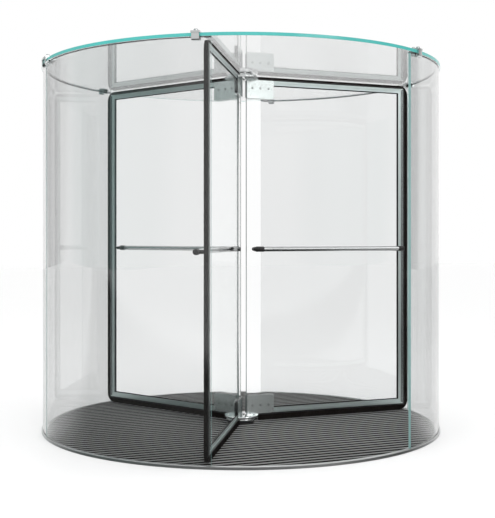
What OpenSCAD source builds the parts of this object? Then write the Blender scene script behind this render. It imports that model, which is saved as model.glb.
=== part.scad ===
// Revolving door, all glass: a round drum with two doorways and a three-wing turnstile.
// The origin is on the ground at the turning axis, +Z is up, and the doorways face -Y and +Y.

/* [Drum] */
// Radius to the outside of the curved glass
drum_r = 1200; // [1000:10:1500]
// Thickness of the curved glass
drum_glass_t = 15; // [10:0.5:18]
// Height from the ground to the underside of the ceiling glass
clear_h = 2157.5; // [2000:2.5:2600]
// Half of the angle that each doorway takes out of the circle
doorway_half_deg = 28.5; // [24:0.5:29.5]
// Gap between the two glass sheets of one side wall
butt_gap = 3; // [2:1:6]
// Height of the soft seal between the curved glass and the ceiling
seal_h = 5; // [3:1:10]
// Radial thickness of that seal
seal_t = 9; // [6:0.5:10]

/* [Floor] */
// Height of the floor ring above the ground
ring_h = 15; // [12:1:30]
// Radial width of the floor ring
ring_w = 28; // [28:1:60]
// How far the ring and the ceiling stand out past the curved glass
rim_overhang = 8; // [4:1:20]
// Depth of the groove that the curved glass stands in
groove_depth = 8; // [5:1:10]
// Height of the entrance mat above the ground
mat_h = 13; // [10:1:30]

/* [Ceiling] */
// Thickness of the ceiling glass
ceiling_t = 17.5; // [12:0.5:25]

/* [Clamps] */
// Angle from the end of a side wall to the middle of its end clamp
clamp_inset_deg = 3.7; // [3:0.1:8]
// Width of a clamp block along the rim
clamp_w = 40; // [30:1:60]
// Thickness of the clamp's top plate
clamp_plate_t = 10; // [6:1:14]
// How far a clamp's inner jaw reaches inwards from the glass
clamp_jaw_reach = 22; // [16:1:24]
// Height of the inner jaw below the ceiling
clamp_jaw_h = 16; // [10:1:18]
// Distance between the two outer bolts of a middle clamp
clamp_bolt_pitch = 105; // [90:1:140]
// Diameter of a clamp's bolt head
clamp_bolt_d = 22; // [14:1:24]
// Height of a clamp's bolt head
clamp_head_h = 12; // [6:1:16]

/* [Hubs] */
// Radius of the hub tier that carries the wings
hub_r = 108; // [95:1:130]
// Radius of the hub tier beyond the groove
hub_outer_tier_r = 99; // [90:1:120]
// Thickness of the tier that carries the wings
hub_tier_t = 13; // [8:1:16]
// Height of the groove between the tiers
hub_groove_t = 4; // [2:1:6]
// Whole thickness of the bottom hub
hub_t = 30; // [24:1:36]
// Radius of the pivot pins
pin_r = 17.95; // [12:0.05:30]
// Clearance between a pivot pin and its bore
pin_clear = 0.05; // [0.02:0.01:0.1]

/* [Wings] */
// Angle between the right wing and +X
wing_start_deg = 0; // [0:1:119]
// Thickness of the wing glass
wing_glass_t = 12; // [8:1:15]
// Radius of the inner edge of the wings
wing_inner_r = 35; // [25:1:50]
// Thickness of the edge profiles
profile_t = 27; // [24:1:36]
// Height of the top profile's face
top_profile_w = 28; // [20:1:50]
// Width of the outer profile's face
side_profile_w = 36; // [24:1:50]
// Height of the bottom profile's face
bottom_profile_w = 30; // [20:1:60]
// Width of the thinner lip along the inner side of the profiles
profile_lip_w = 14; // [6:1:18]
// Depth by which that lip is set back from the face
profile_lip_step = 3; // [1:0.5:5]
// Thickness of the brush seals
brush_t = 25; // [16:1:27]
// Height of the brush seal under the bottom profile
bottom_brush_h = 42; // [38:0.5:60]
// Width of the brush seal beyond the outer profile
side_brush_w = 35; // [15:1:50]
// Height of the brush seal over the top profile
top_brush_h = 22; // [12:1:40]
// Radius that rounds the outer corners of the brush seals
brush_corner_r = 64; // [60:1:72]
// Clearance from the moving seals to the drum, the ceiling and the mat
run_gap = 5; // [5:0.5:15]

/* [Patch fittings] */
// Length of a patch fitting
patch_len = 180; // [120:1:240]
// Height of a patch fitting
patch_h = 115; // [80:1:160]
// Thickness of each of its two cover plates
patch_plate_t = 9; // [6:0.5:14]
// Radius of its corners
patch_corner_r = 8; // [3:1:20]

/* [Push bars] */
// Height of the push bars above the ground
bar_z = 1081; // [900:1:1200]
// Diameter of a push bar
bar_d = 30; // [24:1:40]
// Distance from the middle of the glass to the middle of a push bar
bar_off = 62; // [50:1:90]
// Radius where a push bar starts
bar_inner_r = 60; // [50:1:120]
// Gap from the outer end of a push bar to the tips of the side brush
bar_tip_gap = 60; // [40:1:70]
// How much thicker the end collars are than the bar
collar_extra_d = 3; // [2:0.5:8]
// Length of the inner collar
inner_collar_len = 66; // [50:1:100]
// Length of the outer collar
outer_collar_len = 44; // [30:1:80]
// Diameter of the inner standoff
inner_standoff_d = 28; // [20:1:34]
// Diameter of the outer standoff
outer_standoff_d = 20; // [14:1:22]
// Diameter of the button on the far side of the glass
button_d = 23; // [16:1:30]

/* [Hidden] */

// Facets of the large and the small round shapes
big_fn = 256;
small_fn = 48;

// Polar angles, measured from +X, of the side walls and of the wings
right_side_deg = 0;
left_side_deg = 180;
side_half_deg = 90 - doorway_half_deg;
end_clamp_deg = side_half_deg - clamp_inset_deg;
right_wing_deg = wing_start_deg;
rear_wing_deg = wing_start_deg + 120;
front_wing_deg = wing_start_deg + 240;

// Radii of the drum, from the inside outwards
glass_inner_r = drum_r - drum_glass_t;
glass_middle_r = drum_r - drum_glass_t / 2;
rim_r = drum_r + rim_overhang;
ring_inner_r = rim_r - ring_w;
mat_gap = 1;
mat_r = ring_inner_r - mat_gap;
groove_side_gap = 0.5;
butt_half_deg = asin(butt_gap / 2 / glass_inner_r);

// Heights of the drum
glass_z0 = ring_h - groove_depth;
glass_z1 = clear_h - seal_h;
ceiling_top = clear_h + ceiling_t;

// Clamps on the rim of the ceiling
jaw_gap = 0.3;
clamp_cheek_t = 10;
clamp_outer_r = rim_r + clamp_cheek_t;
clamp_leg_r = clamp_outer_r - 1;
clamp_jaw_r0 = glass_inner_r - jaw_gap - clamp_jaw_reach;
clamp_plate_r0 = clamp_jaw_r0 - 12;
clamp_outer_drop = 20;
clamp_leg_w = 30;
clamp_plate_margin = 4;
clamp_head_sink = 2;
clamp_bolt_r = 5;
clamp_bolt_hole_r = 6;
clamp_inner_bolt_r = (clamp_jaw_r0 + glass_inner_r) / 2;
clamp_outer_bolt_r = rim_r - clamp_bolt_d / 2 + 4;

// Pivots: the bottom pin stands on the floor bearing, the top pin hangs from the ceiling
bearing_r = 82;
bearing_flange_r = 60;
bearing_flange_t = 4;
bearing_cap_r = 75;
bearing_cap_h = 12;
bearing_hole_r = 41;
bearing_neck_r = 40;
bearing_hub_gap = 5.5;
hub_recess_r = bearing_flange_r + 6;
hub_recess_h = 5;
pin_engage = 14;
bore_r = pin_r + pin_clear;
bore_depth = pin_engage + 1;

// Wing outline, along the wing from the axis and up from the ground
tip_r = glass_inner_r - run_gap;
bar_outer_r = tip_r - bar_tip_gap;
side_profile_r1 = tip_r - side_brush_w;
side_profile_r0 = side_profile_r1 - side_profile_w;
brush_z0 = mat_h + run_gap;
brush_z1 = clear_h - run_gap;
wing_z0 = brush_z0 + bottom_brush_h;
wing_z1 = brush_z1 - top_brush_h;
profile_inset = 8;
slot_gap = 0.3;
patch_r1 = wing_inner_r + patch_len;
patch_profile_gap = 0.5;
brush_r0 = hub_r + 6;
brush_corner_z0 = brush_z0 + brush_corner_r;
brush_corner_z1 = brush_z1 - brush_corner_r;
wing_glass_r1 = side_profile_r1 - profile_inset;
wing_glass_z0 = wing_z0 + profile_inset;
wing_glass_z1 = wing_z1 - profile_inset;

// Hubs
bottom_hub_z0 = wing_z0 - hub_t;
top_hub_z1 = brush_z1;
hub_groove_r = hub_outer_tier_r - 4;
hub_cap_r = wing_inner_r - 11;
hub_cap_h = 8;
hub_cap_chamfer = 4;
bearing_top = bottom_hub_z0 - bearing_hub_gap;

// Patch fittings
patch_gasket_t = 0.5;
patch_plate_y = wing_glass_t / 2 + patch_gasket_t;

// Push bars
bar_wall = 2;
collar_d = bar_d + collar_extra_d;
collar_tip = 19;
collar_tip_d = 20;
collar_gap = 0.05;
standoff_taper = 6;
standoff_taper_d = 14;
outer_standoff_gap = 1;
inner_standoff_r = bar_inner_r + 28;
outer_standoff_r = side_profile_r0 - outer_standoff_gap - outer_standoff_d / 2;
bar_bolt_r = 5;
bar_bolt_hole_r = 5.5;
button_t = 6;

// ---- shapes used more than once ----

// Part of a ring between two radii and two polar angles
module ring_part(r0, r1, z0, z1, deg0, deg1) {
  rotate([0, 0, deg0])
    rotate_extrude(angle = deg1 - deg0, $fn = big_fn)
      translate([r0, z0]) square([r1 - r0, z1 - z0]);
}

// The same, given by its middle angle and its width along the outer radius
module ring_block(r0, r1, z0, z1, mid_deg, width) {
  half_deg = asin(width / 2 / r1);
  ring_part(r0, r1, z0, z1, mid_deg - half_deg, mid_deg + half_deg);
}

// Rod along +X
module rod_x(x0, x1, r) {
  translate([x0, 0, 0]) rotate([0, 90, 0]) cylinder(h = x1 - x0, r = r, $fn = small_fn);
}

// Upright plate in the XZ plane with rounded corners, from y0 to y1
module upright_plate(x0, x1, y0, y1, z0, z1, r) {
  translate([0, y1, 0]) rotate([90, 0, 0]) linear_extrude(height = y1 - y0) union() {
    translate([x0 + r, z0]) square([x1 - x0 - 2 * r, z1 - z0]);
    translate([x0, z0 + r]) square([x1 - x0, z1 - z0 - 2 * r]);
    for (x = [x0 + r, x1 - r], z = [z0 + r, z1 - r])
      translate([x, z]) circle(r = r, $fn = small_fn);
  }
}

// ---- floor ----

module floor_ring() {
  color("silver") difference() {
    ring_part(ring_inner_r, rim_r, 0, ring_h, 0, 360);
    for (mid_deg = [right_side_deg, left_side_deg])
      ring_part(glass_inner_r - groove_side_gap, drum_r + groove_side_gap, glass_z0, ring_h + 1,
        mid_deg - side_half_deg, mid_deg + side_half_deg);
  }
}

module floor_mat() {
  color("dimgray") difference() {
    cylinder(h = mat_h, r = mat_r, $fn = big_fn);
    translate([0, 0, -1]) cylinder(h = mat_h + 2, r = bearing_r + mat_gap, $fn = big_fn);
  }
}

module floor_bearing() {
  color("darkslategray") {
    cylinder(h = bearing_top, r = bearing_r, $fn = big_fn);
    cylinder(h = bottom_hub_z0 + pin_engage, r = pin_r, $fn = small_fn);
  }
}

// ---- curved side walls ----

module curved_sheet(deg0, deg1) {
  color("lightcyan", 0.4) ring_part(glass_inner_r, drum_r, glass_z0, glass_z1, deg0, deg1);
}

module right_front_glass() { curved_sheet(-side_half_deg, -butt_half_deg); }
module right_rear_glass() { curved_sheet(butt_half_deg, side_half_deg); }
module left_front_glass() { curved_sheet(180 + butt_half_deg, 180 + side_half_deg); }
module left_rear_glass() { curved_sheet(180 - side_half_deg, 180 - butt_half_deg); }

module top_seal(mid_deg) {
  color("black") ring_part(glass_middle_r - seal_t / 2, glass_middle_r + seal_t / 2,
    glass_z1, clear_h, mid_deg - side_half_deg, mid_deg + side_half_deg);
}

module right_top_seal() { top_seal(right_side_deg); }
module left_top_seal() { top_seal(left_side_deg); }

// ---- ceiling ----

module ceiling_glass() {
  color("lightcyan", 0.4) difference() {
    translate([0, 0, clear_h]) cylinder(h = ceiling_t, r = rim_r, $fn = big_fn);
    translate([0, 0, clear_h - 1]) cylinder(h = ceiling_t + 2, r = bearing_hole_r, $fn = big_fn);
    for (side_deg = [right_side_deg, left_side_deg], off_deg = [-end_clamp_deg, 0, end_clamp_deg])
      rotate([0, 0, side_deg + off_deg]) translate([clamp_inner_bolt_r, 0, clear_h - 1])
        cylinder(h = ceiling_t + 2, r = clamp_bolt_hole_r, $fn = small_fn);
  }
}

module ceiling_bearing() {
  pin_z0 = top_hub_z1 - hub_recess_h - pin_engage;
  color("silver") {
    translate([0, 0, clear_h - bearing_flange_t])
      cylinder(h = bearing_flange_t, r = bearing_flange_r, $fn = big_fn);
    translate([0, 0, clear_h - bearing_flange_t])
      cylinder(h = bearing_flange_t + ceiling_t + bearing_cap_h, r = bearing_neck_r, $fn = big_fn);
    translate([0, 0, ceiling_top]) cylinder(h = bearing_cap_h, r = bearing_cap_r, $fn = big_fn);
    translate([0, 0, pin_z0]) cylinder(h = clear_h - pin_z0, r = pin_r, $fn = small_fn);
  }
}

// Leg of a clamp: down over the rim of the ceiling and in under it to the curved glass
module clamp_leg(mid_deg, width) {
  half_deg = asin(width / 2 / clamp_leg_r);
  z0 = clear_h - clamp_outer_drop;
  z1 = ceiling_top + clamp_plate_t / 2;
  rotate([0, 0, mid_deg - half_deg]) rotate_extrude(angle = 2 * half_deg, $fn = big_fn)
    polygon([[drum_r + jaw_gap, z0], [clamp_leg_r, z0], [clamp_leg_r, z1], [rim_r + jaw_gap, z1],
      [rim_r + jaw_gap, clear_h - jaw_gap], [drum_r + jaw_gap, clear_h - jaw_gap]]);
}

// Clamp that joins the curved glass to the ceiling: a plate on top, an inner jaw on a bolt
// through the ceiling, and outer legs that come down over the rim at the given offsets
module clamp(mid_deg, plate_w, leg_offsets, leg_w) {
  plate_z1 = ceiling_top + clamp_plate_t;
  head_z0 = plate_z1 - clamp_head_sink;
  color("silver") {
    ring_block(clamp_plate_r0, clamp_outer_r, ceiling_top, plate_z1, mid_deg, plate_w);
    ring_block(clamp_jaw_r0, glass_inner_r - jaw_gap, clear_h - clamp_jaw_h, clear_h, mid_deg, clamp_w);
    rotate([0, 0, mid_deg]) translate([clamp_inner_bolt_r, 0, clear_h - clamp_jaw_h / 2]) {
      cylinder(h = plate_z1 - clear_h + clamp_jaw_h / 2, r = clamp_bolt_r, $fn = small_fn);
      translate([0, 0, head_z0 - clear_h + clamp_jaw_h / 2])
        cylinder(h = clamp_head_h + clamp_head_sink, r = clamp_bolt_d / 2, $fn = small_fn);
    }
    for (off = leg_offsets) {
      leg_deg = mid_deg + asin(off / clamp_outer_r);
      clamp_leg(leg_deg, leg_w);
      rotate([0, 0, leg_deg]) translate([clamp_outer_bolt_r, 0, head_z0])
        cylinder(h = clamp_head_h + clamp_head_sink, r = clamp_bolt_d / 2, $fn = small_fn);
    }
  }
}

module end_clamp(mid_deg) { clamp(mid_deg, clamp_w + 2 * clamp_plate_margin, [0], clamp_w); }
module middle_clamp(mid_deg) {
  clamp(mid_deg, clamp_bolt_pitch + clamp_leg_w + 2 * clamp_plate_margin,
    [-clamp_bolt_pitch / 2, clamp_bolt_pitch / 2], clamp_leg_w);
}

module right_front_clamp() { end_clamp(right_side_deg - end_clamp_deg); }
module right_middle_clamp() { middle_clamp(right_side_deg); }
module right_rear_clamp() { end_clamp(right_side_deg + end_clamp_deg); }
module left_front_clamp() { end_clamp(left_side_deg + end_clamp_deg); }
module left_middle_clamp() { middle_clamp(left_side_deg); }
module left_rear_clamp() { end_clamp(left_side_deg - end_clamp_deg); }

// ---- hubs ----

// Two-tier hub standing up from its outer face, with the wings' tier and a cap on top
module hub_body(height) {
  outer_tier_t = height - hub_tier_t - hub_groove_t;
  cylinder(h = outer_tier_t, r = hub_outer_tier_r, $fn = big_fn);
  cylinder(h = height - 1, r = hub_groove_r, $fn = big_fn);
  translate([0, 0, height - hub_tier_t]) cylinder(h = hub_tier_t, r = hub_r, $fn = big_fn);
  translate([0, 0, height - 1])
    cylinder(h = hub_cap_h - hub_cap_chamfer + 1, r = hub_cap_r, $fn = small_fn);
  translate([0, 0, height + hub_cap_h - hub_cap_chamfer])
    cylinder(h = hub_cap_chamfer, r1 = hub_cap_r, r2 = hub_cap_r - hub_cap_chamfer, $fn = small_fn);
}

module bottom_hub() {
  color("silver") translate([0, 0, bottom_hub_z0]) difference() {
    hub_body(wing_z0 - bottom_hub_z0);
    translate([0, 0, -1]) cylinder(h = bore_depth + 1, r = bore_r, $fn = small_fn);
  }
}

module top_hub() {
  color("silver") translate([0, 0, top_hub_z1]) rotate([180, 0, 0]) difference() {
    hub_body(top_hub_z1 - wing_z1);
    translate([0, 0, -1]) cylinder(h = hub_recess_h + 1, r = hub_recess_r, $fn = big_fn);
    cylinder(h = hub_recess_h + bore_depth, r = bore_r, $fn = small_fn);
  }
}

// ---- wings, each drawn along +X and turned to its place ----

module wing_glass(deg) {
  color("lightcyan", 0.4) rotate([0, 0, deg]) difference() {
    translate([wing_inner_r, -wing_glass_t / 2, wing_glass_z0])
      cube([wing_glass_r1 - wing_inner_r, wing_glass_t, wing_glass_z1 - wing_glass_z0]);
    translate([inner_standoff_r, wing_glass_t, bar_z]) rotate([90, 0, 0])
      cylinder(h = 2 * wing_glass_t, r = bar_bolt_hole_r, $fn = small_fn);
  }
}

// C-shaped plate round the top, outer and bottom edges, given the width of each side
module wing_c_plate(thick, top_w, side_w, bottom_w) {
  r0 = patch_r1 + patch_profile_gap;
  difference() {
    translate([r0, -thick / 2, wing_z0]) cube([side_profile_r1 - r0, thick, wing_z1 - wing_z0]);
    translate([r0 - 1, -thick, wing_z0 + bottom_w])
      cube([side_profile_r1 - side_w - r0 + 1, 2 * thick, wing_z1 - top_w - wing_z0 - bottom_w]);
  }
}

// Edge profile: a full-thickness face, a thinner lip inside it and a slot for the glass
module wing_frame(deg) {
  slot_t = wing_glass_t + 2 * slot_gap;
  color("gainsboro") rotate([0, 0, deg]) difference() {
    union() {
      wing_c_plate(profile_t, top_profile_w - profile_lip_w, side_profile_w - profile_lip_w,
        bottom_profile_w - profile_lip_w);
      wing_c_plate(profile_t - 2 * profile_lip_step, top_profile_w, side_profile_w, bottom_profile_w);
    }
    translate([0, -slot_t / 2, wing_glass_z0])
      cube([wing_glass_r1, slot_t, wing_glass_z1 - wing_glass_z0]);
  }
}

// Brush seal round the same edges, with its outer corners rounded
module wing_brush(deg) {
  color("black") rotate([0, 0, deg]) translate([0, brush_t / 2, 0]) rotate([90, 0, 0])
    linear_extrude(height = brush_t) difference() {
      union() {
        translate([brush_r0, brush_z0]) square([tip_r - brush_corner_r - brush_r0, brush_z1 - brush_z0]);
        translate([brush_r0, brush_corner_z0])
          square([tip_r - brush_r0, brush_corner_z1 - brush_corner_z0]);
        for (z = [brush_corner_z0, brush_corner_z1])
          translate([tip_r - brush_corner_r, z]) circle(r = brush_corner_r, $fn = big_fn);
      }
      translate([brush_r0 - 1, wing_z0]) square([side_profile_r1 - brush_r0 + 1, wing_z1 - wing_z0]);
    }
}

// Two cover plates on either side of the glass, joined by a core beyond its edge
module patch_fitting(deg, z0, core_z0) {
  color("silver") rotate([0, 0, deg]) {
    for (y0 = [-patch_plate_y - patch_plate_t, patch_plate_y])
      upright_plate(wing_inner_r, patch_r1, y0, y0 + patch_plate_t, z0, z0 + patch_h, patch_corner_r);
    translate([wing_inner_r, -patch_plate_y, core_z0])
      cube([patch_len, 2 * patch_plate_y, profile_inset]);
  }
}

module top_patch(deg) { patch_fitting(deg, wing_z1 - patch_h, wing_z1 - profile_inset); }
module bottom_patch(deg) { patch_fitting(deg, wing_z0, wing_z0); }

module push_bar(deg) {
  color("silver") rotate([0, 0, deg]) translate([0, -bar_off, bar_z]) difference() {
    rod_x(bar_inner_r + collar_tip, bar_outer_r - 2, bar_d / 2);
    rod_x(bar_inner_r + collar_tip - 1, bar_outer_r - 1, bar_d / 2 - bar_wall);
  }
}

// Standoff from the face of the glass to the middle of a push bar
module standoff(r, d) {
  translate([r, -wing_glass_t / 2, bar_z]) rotate([90, 0, 0]) {
    cylinder(h = standoff_taper, r1 = standoff_taper_d / 2, r2 = d / 2, $fn = small_fn);
    translate([0, 0, standoff_taper])
      cylinder(h = bar_off - wing_glass_t / 2 - standoff_taper, r = d / 2, $fn = small_fn);
  }
}

// Collars on the ends of a push bar and the standoffs that carry it; the inner standoff is
// bolted through the glass to a button on the far side
module bar_mounts(deg) {
  sleeve_r = bar_d / 2 + collar_gap;
  color("black") rotate([0, 0, deg]) difference() {
    union() {
      translate([0, -bar_off, bar_z]) {
        translate([bar_inner_r, 0, 0]) rotate([0, 90, 0])
          cylinder(h = collar_tip, r1 = collar_tip_d / 2, r2 = collar_d / 2, $fn = small_fn);
        rod_x(bar_inner_r + collar_tip, bar_inner_r + inner_collar_len, collar_d / 2);
        rod_x(bar_outer_r - outer_collar_len, bar_outer_r, collar_d / 2);
      }
      standoff(inner_standoff_r, inner_standoff_d);
      standoff(outer_standoff_r, outer_standoff_d);
      translate([inner_standoff_r, wing_glass_t / 2 + button_t, bar_z]) rotate([90, 0, 0]) {
        cylinder(h = button_t, r = button_d / 2, $fn = small_fn);
        cylinder(h = button_t + wing_glass_t + standoff_taper, r = bar_bolt_r, $fn = small_fn);
      }
    }
    translate([0, -bar_off, bar_z]) rod_x(bar_inner_r + collar_tip, bar_outer_r - 2, sleeve_r);
  }
}

module right_wing_glass() { wing_glass(right_wing_deg); }
module right_wing_frame() { wing_frame(right_wing_deg); }
module right_wing_brush() { wing_brush(right_wing_deg); }
module right_wing_top_patch() { top_patch(right_wing_deg); }
module right_wing_bottom_patch() { bottom_patch(right_wing_deg); }
module right_wing_push_bar() { push_bar(right_wing_deg); }
module right_wing_bar_mounts() { bar_mounts(right_wing_deg); }

module rear_wing_glass() { wing_glass(rear_wing_deg); }
module rear_wing_frame() { wing_frame(rear_wing_deg); }
module rear_wing_brush() { wing_brush(rear_wing_deg); }
module rear_wing_top_patch() { top_patch(rear_wing_deg); }
module rear_wing_bottom_patch() { bottom_patch(rear_wing_deg); }
module rear_wing_push_bar() { push_bar(rear_wing_deg); }
module rear_wing_bar_mounts() { bar_mounts(rear_wing_deg); }

module front_wing_glass() { wing_glass(front_wing_deg); }
module front_wing_frame() { wing_frame(front_wing_deg); }
module front_wing_brush() { wing_brush(front_wing_deg); }
module front_wing_top_patch() { top_patch(front_wing_deg); }
module front_wing_bottom_patch() { bottom_patch(front_wing_deg); }
module front_wing_push_bar() { push_bar(front_wing_deg); }
module front_wing_bar_mounts() { bar_mounts(front_wing_deg); }

floor_ring();
floor_mat();
floor_bearing();
left_front_glass();
left_rear_glass();
right_front_glass();
right_rear_glass();
left_top_seal();
right_top_seal();
ceiling_glass();
ceiling_bearing();
left_front_clamp();
left_middle_clamp();
left_rear_clamp();
right_front_clamp();
right_middle_clamp();
right_rear_clamp();
bottom_hub();
top_hub();
right_wing_glass();
right_wing_frame();
right_wing_brush();
right_wing_top_patch();
right_wing_bottom_patch();
right_wing_push_bar();
right_wing_bar_mounts();
rear_wing_glass();
rear_wing_frame();
rear_wing_brush();
rear_wing_top_patch();
rear_wing_bottom_patch();
rear_wing_push_bar();
rear_wing_bar_mounts();
front_wing_glass();
front_wing_frame();
front_wing_brush();
front_wing_top_patch();
front_wing_bottom_patch();
front_wing_push_bar();
front_wing_bar_mounts();
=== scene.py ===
"""Looks of an all-glass revolving door: a round glass drum, a glass ceiling and a three-wing turnstile.

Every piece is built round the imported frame, in metres, with +Z up along the turning axis.
"""

import bmesh
import bpy
import numpy as np
from bpy.props import FloatProperty, FloatVectorProperty, IntProperty, PointerProperty
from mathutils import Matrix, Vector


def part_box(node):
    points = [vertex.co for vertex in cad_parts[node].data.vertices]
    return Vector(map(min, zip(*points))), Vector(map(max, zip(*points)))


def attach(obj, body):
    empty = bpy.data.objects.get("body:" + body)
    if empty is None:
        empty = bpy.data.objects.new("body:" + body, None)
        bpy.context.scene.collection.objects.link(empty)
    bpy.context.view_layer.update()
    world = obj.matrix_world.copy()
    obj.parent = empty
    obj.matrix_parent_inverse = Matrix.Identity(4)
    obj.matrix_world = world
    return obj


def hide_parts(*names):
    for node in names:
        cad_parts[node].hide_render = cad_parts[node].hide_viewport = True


bl_info = {
    "name": "Revolving Door",
    "version": (1, 0, 0),
    "blender": (4, 5, 0),
    "location": "View3D > Sidebar > Revolving Door",
    "description": "Builds the glass, seals, fittings and finishes of an all-glass revolving door",
    "category": "Add Mesh",
}

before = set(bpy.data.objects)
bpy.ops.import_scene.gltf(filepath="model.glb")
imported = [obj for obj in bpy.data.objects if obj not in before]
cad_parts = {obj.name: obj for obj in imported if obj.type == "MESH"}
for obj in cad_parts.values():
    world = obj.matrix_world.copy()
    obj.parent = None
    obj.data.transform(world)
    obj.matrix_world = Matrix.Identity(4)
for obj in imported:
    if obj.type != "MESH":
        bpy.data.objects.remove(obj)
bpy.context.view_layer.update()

WINGS = {"right": 0.0, "rear": 120.0, "front": 240.0}
SIDES = {"right": 0.0, "left": 180.0}
THIRDS = (60, 180, 300)
HUB_BOLT_ANGLES = (35, 85, 155, 205, 275, 325)

# Fixed details, in metres
GLASS_GAP = 0.0003
GROOVE_GAP = 0.0005
PIN_CLEARANCE = 0.00005
PLATE_PAD = 0.0005
HUB_BOLT_CIRCLE, HUB_BOLT_HEAD, HUB_BOLT_HEIGHT = 0.085, 0.014, 0.006
SEATED = 0.0002
BUTTON_IN = 0.028
PLATE_SCREWS_X = (0.0706, 0.1237, 0.1784)
PLATE_SCREWS_Z = 0.051
CORE_DEPTH = 0.0072
FLOOR_HALF = 30.0


# ---- sizes and colours ----


def length(name, description, default):
    """A length in metres."""
    return FloatProperty(name=name, description=description, default=default, min=0.0,
                         unit="LENGTH", precision=4)


def angle(name, description, default):
    """An angle in degrees."""
    return FloatProperty(name=name, description=description, default=default, min=0.0)


def colour(name, description, default):
    """A linear colour."""
    return FloatVectorProperty(name=name, description=description, default=default, size=3,
                               min=0.0, max=1.0, subtype="COLOR")


class RevolvingDoorSizes(bpy.types.PropertyGroup):
    """Sizes that the CAD boxes don't give."""

    drum_glass: length("Drum glass", "Thickness of the curved glass", 0.015)
    side_half_angle: angle("Side wall", "Half of the angle that a curved side wall covers", 61.5)
    butt_gap: length("Butt gap", "Gap between the two curved sheets of one side", 0.003)
    seal_width: length("Seal width", "Width of the seal between the curved glass and the ceiling", 0.009)
    arris: length("Arris", "Width of the ground edges of the glass", 0.001)
    bearing_hole: length("Ceiling hole", "Radius of the hole in the ceiling glass", 0.041)
    ring_width: length("Ring width", "Radial width of the floor ring", 0.028)
    groove_depth: length("Groove depth", "Depth of the groove that the curved glass stands in", 0.008)
    rib_pitch: length("Mat rib pitch", "Distance between the ribs of the entrance mat", 0.0535)
    rib_width: length("Mat rib width", "Width of one rib of the entrance mat", 0.0150)
    rib_height: length("Mat rib height", "Height of the ribs above the carpet strips", 0.003)
    clamp_width: length("Clamp width", "Width of an end clamp along the rim", 0.040)
    clamp_plate: length("Clamp plate", "Thickness of a clamp's top plate", 0.010)
    clamp_jaw_reach: length("Jaw reach", "How far a clamp's jaw reaches inwards from the glass", 0.022)
    clamp_jaw_height: length("Jaw height", "Height of a clamp's jaw below the ceiling", 0.016)
    clamp_pitch: length("Clamp bolt pitch", "Distance between the legs of a middle clamp", 0.105)
    clamp_leg: length("Clamp leg", "Width of one leg of a middle clamp", 0.030)
    clamp_drop: length("Clamp drop", "How far a clamp's leg reaches below the ceiling glass", 0.020)
    clamp_head: length("Clamp bolt head", "Diameter of a clamp's bolt head", 0.022)
    clamp_head_height: length("Clamp head height", "Height of a clamp's bolt head", 0.012)
    clamp_inset: angle("Clamp inset", "Angle from the end of a side wall to its end clamp", 3.7)
    hub_tier: length("Hub tier", "Thickness of the hub tier that carries the wings", 0.013)
    hub_outer_tier: length("Outer tier", "Radius of the hub tier beyond the groove", 0.099)
    hub_groove: length("Hub groove", "Height of the groove between the hub's tiers", 0.004)
    pin: length("Pin", "Radius of the pivot pins", 0.01795)
    top_profile: length("Top profile", "Height of the top profile's face", 0.028)
    side_profile: length("Side profile", "Width of the outer profile's face", 0.036)
    bottom_profile: length("Bottom profile", "Height of the bottom profile's face", 0.030)
    profile_lip: length("Profile lip", "Width of the thinner lip of the profiles", 0.014)
    profile_step: length("Profile step", "Depth by which the lip is set back", 0.003)
    glazing_bead: length("Glazing bead", "Width of the black bead between profile and glass", 0.005)
    brush_holder: length("Brush holder", "Depth of the strip that holds the bristles", 0.010)
    brush_corner: length("Brush corner", "Radius that the bristle tips follow round the corners", 0.064)
    bristle_pitch: length("Bristle pitch", "Distance between tufts along a brush", 0.0022)
    bristle_rows: IntProperty(name="Bristle rows", description="Rows of tufts across a brush",
                              default=5, min=1, max=9)
    patch_plate: length("Patch plate", "Thickness of a patch fitting's cover plate", 0.009)
    patch_corner: length("Patch corner", "Radius of the corners of a cover plate", 0.008)
    bar_inner_collar: length("Inner collar", "Length of the inner collar of a push bar", 0.066)
    bar_outer_collar: length("Outer collar", "Length of the outer collar of a push bar", 0.044)
    bar_extra: length("Collar wall", "How much thicker the collars are than the bar", 0.003)
    inner_standoff: length("Inner standoff", "Diameter of the inner standoff", 0.028)
    outer_standoff: length("Outer standoff", "Diameter of the outer standoff", 0.020)


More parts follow.
